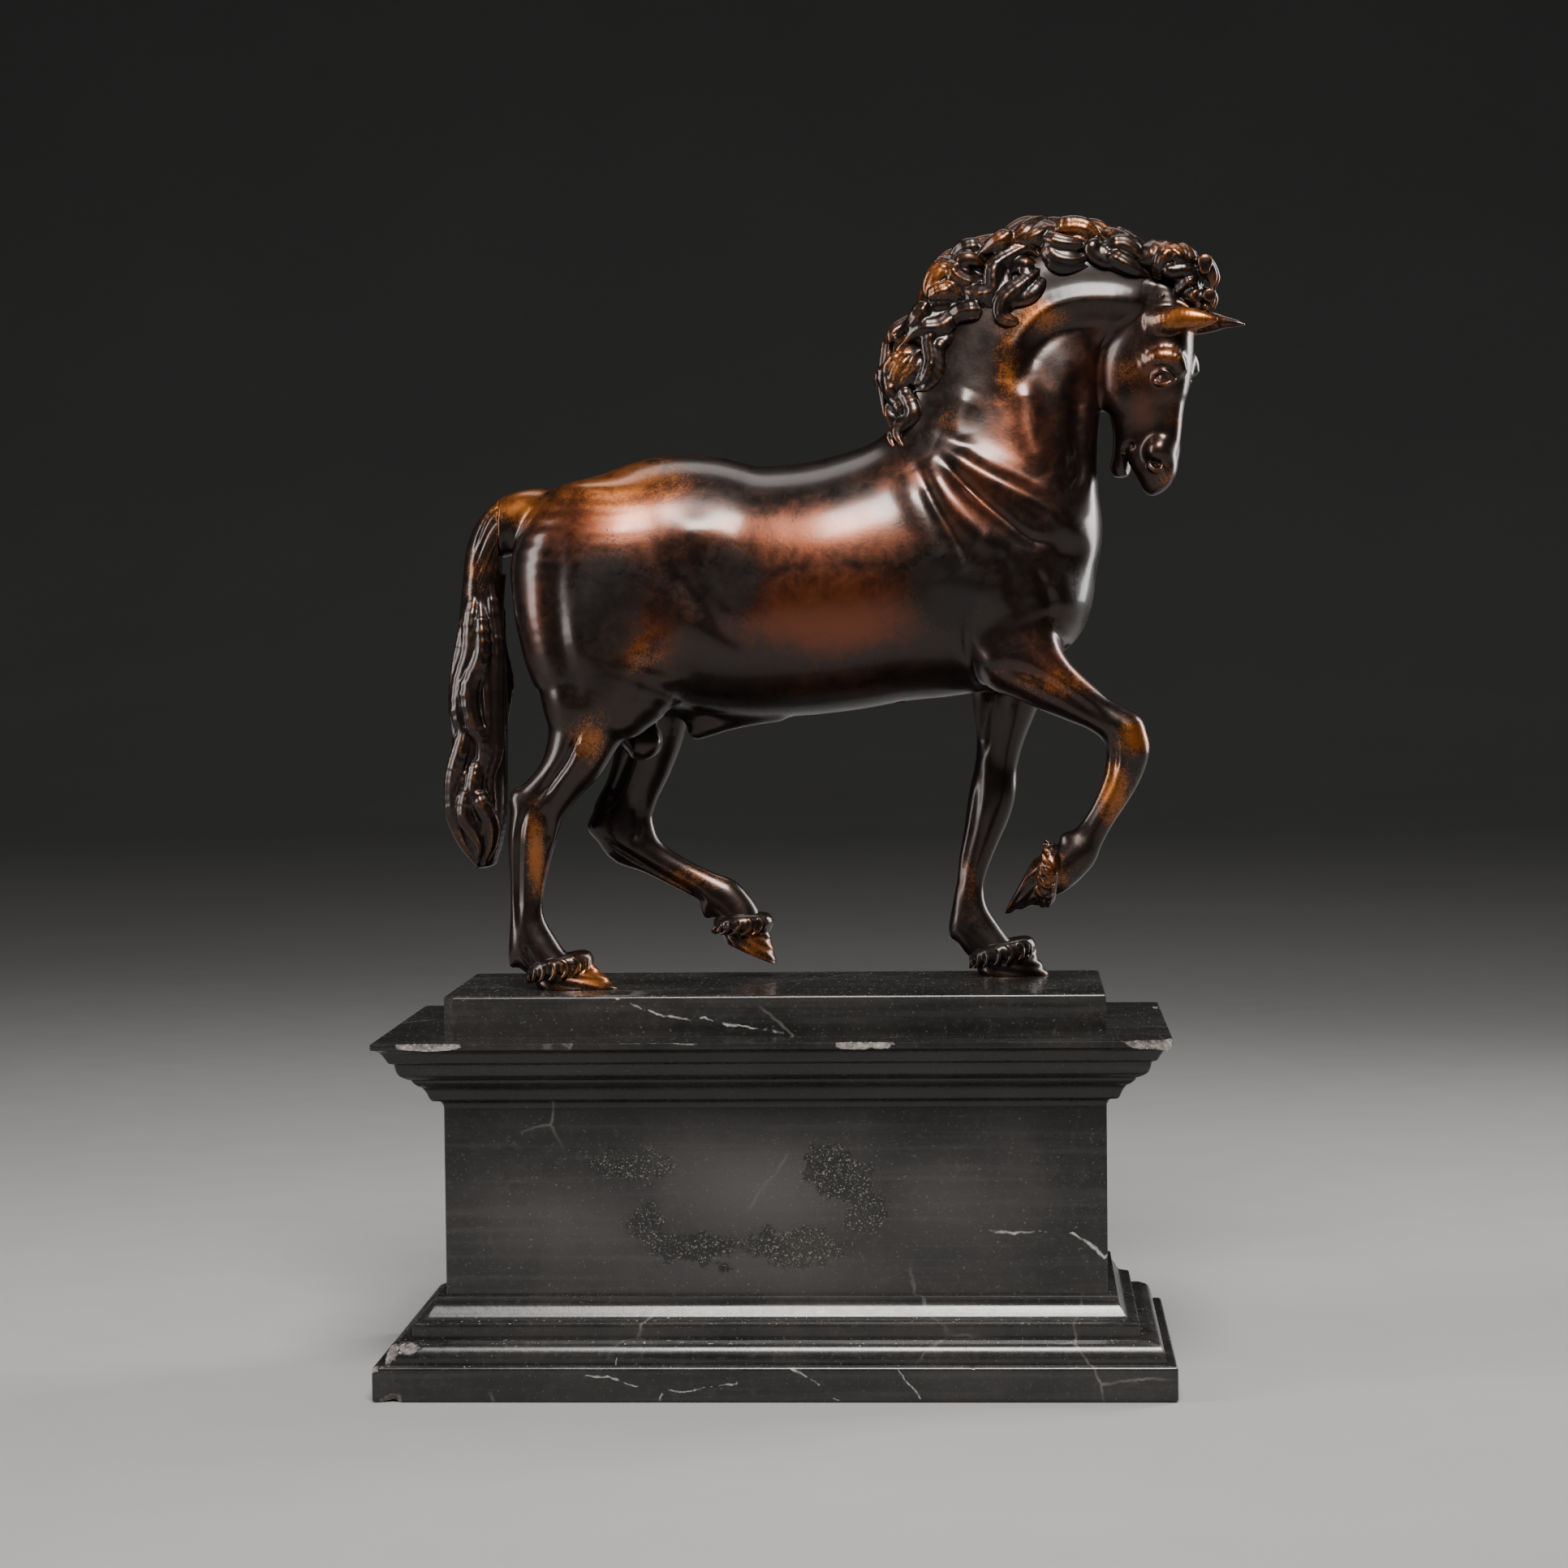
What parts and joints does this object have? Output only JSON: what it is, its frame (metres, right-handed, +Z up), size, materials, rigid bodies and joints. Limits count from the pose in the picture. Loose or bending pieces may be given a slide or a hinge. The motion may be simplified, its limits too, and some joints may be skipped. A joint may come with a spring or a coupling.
{
  "type": "bronze statuette",
  "caption": "Bronze figure of a pacing horse with a turned head, pinned through two hooves to a stepped marble pedestal.",
  "frame": {"origin": "middle of the underside of the pedestal", "axes": "+X the way the horse faces, along the pedestal; +Y across the pedestal to the horse's left side; +Z up"},
  "size_m": [0.2677, 0.1198, 0.362],
  "materials": {
    "bronze": "dark brown patina, rubbed golden on the high places",
    "plug_bronze": "dull filed bronze",
    "steel": "plain",
    "iron": "forged",
    "black_marble": "worn polish with grey veins",
    "felt": "felt"
  },
  "bodies": {
    "root": {"horse_casting": "bronze", "tail_casting": "bronze", "tail_pin": "bronze", "core_plugs": "plug_bronze", "fore_stud": "steel", "hind_stud": "steel", "stud_washers": "steel", "stud_nuts": "steel", "plinth_block": "black_marble", "cornice_cap": "black_marble", "cornice_bed": "black_marble", "die_block": "black_marble", "base_moulding": "black_marble", "base_ovolo": "black_marble", "bottom_slab": "black_marble", "tie_rod": "steel", "tie_washers": "steel", "tie_nuts": "steel", "joint_dowels": "iron", "felt_liner": "felt"}
  },
  "joints": []
}
